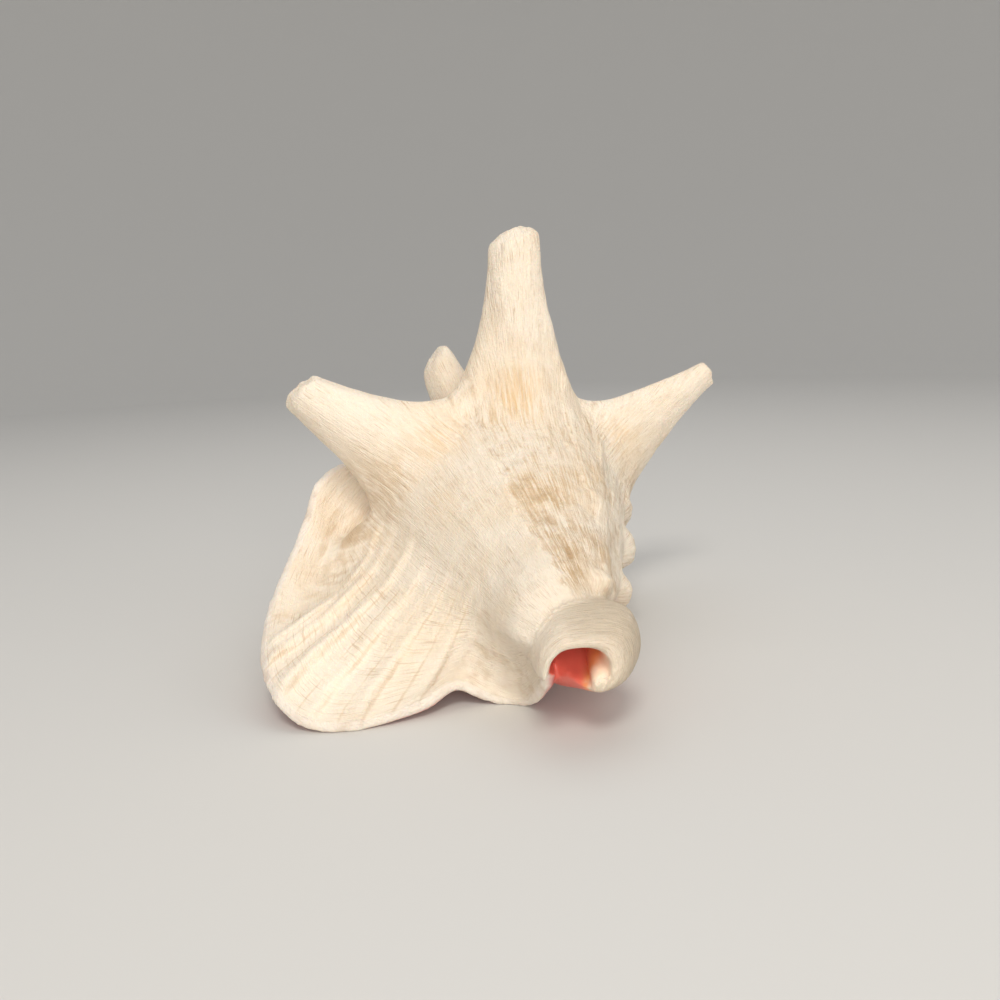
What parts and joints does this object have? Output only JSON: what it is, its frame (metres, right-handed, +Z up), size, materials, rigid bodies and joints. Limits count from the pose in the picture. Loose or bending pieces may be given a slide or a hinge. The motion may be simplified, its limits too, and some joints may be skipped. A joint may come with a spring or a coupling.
{
  "type": "queen conch shell",
  "caption": "Large sea snail shell lying on its aperture: long blunt shoulder spines, low spire, widely flared outer lip and a rolled siphonal canal at the front.",
  "frame": {"origin": "centre of the bounding box's bottom, on the plane the shell rests on", "axes": "+Z up; +Y towards the spire, near the coiling axis; -Y towards the siphonal canal; -X towards the flared lip"},
  "size_m": [0.1972, 0.2058, 0.1627],
  "materials": {
    "shell": "matt"
  },
  "bodies": {
    "root": {"conch_shell": "shell"}
  },
  "joints": []
}
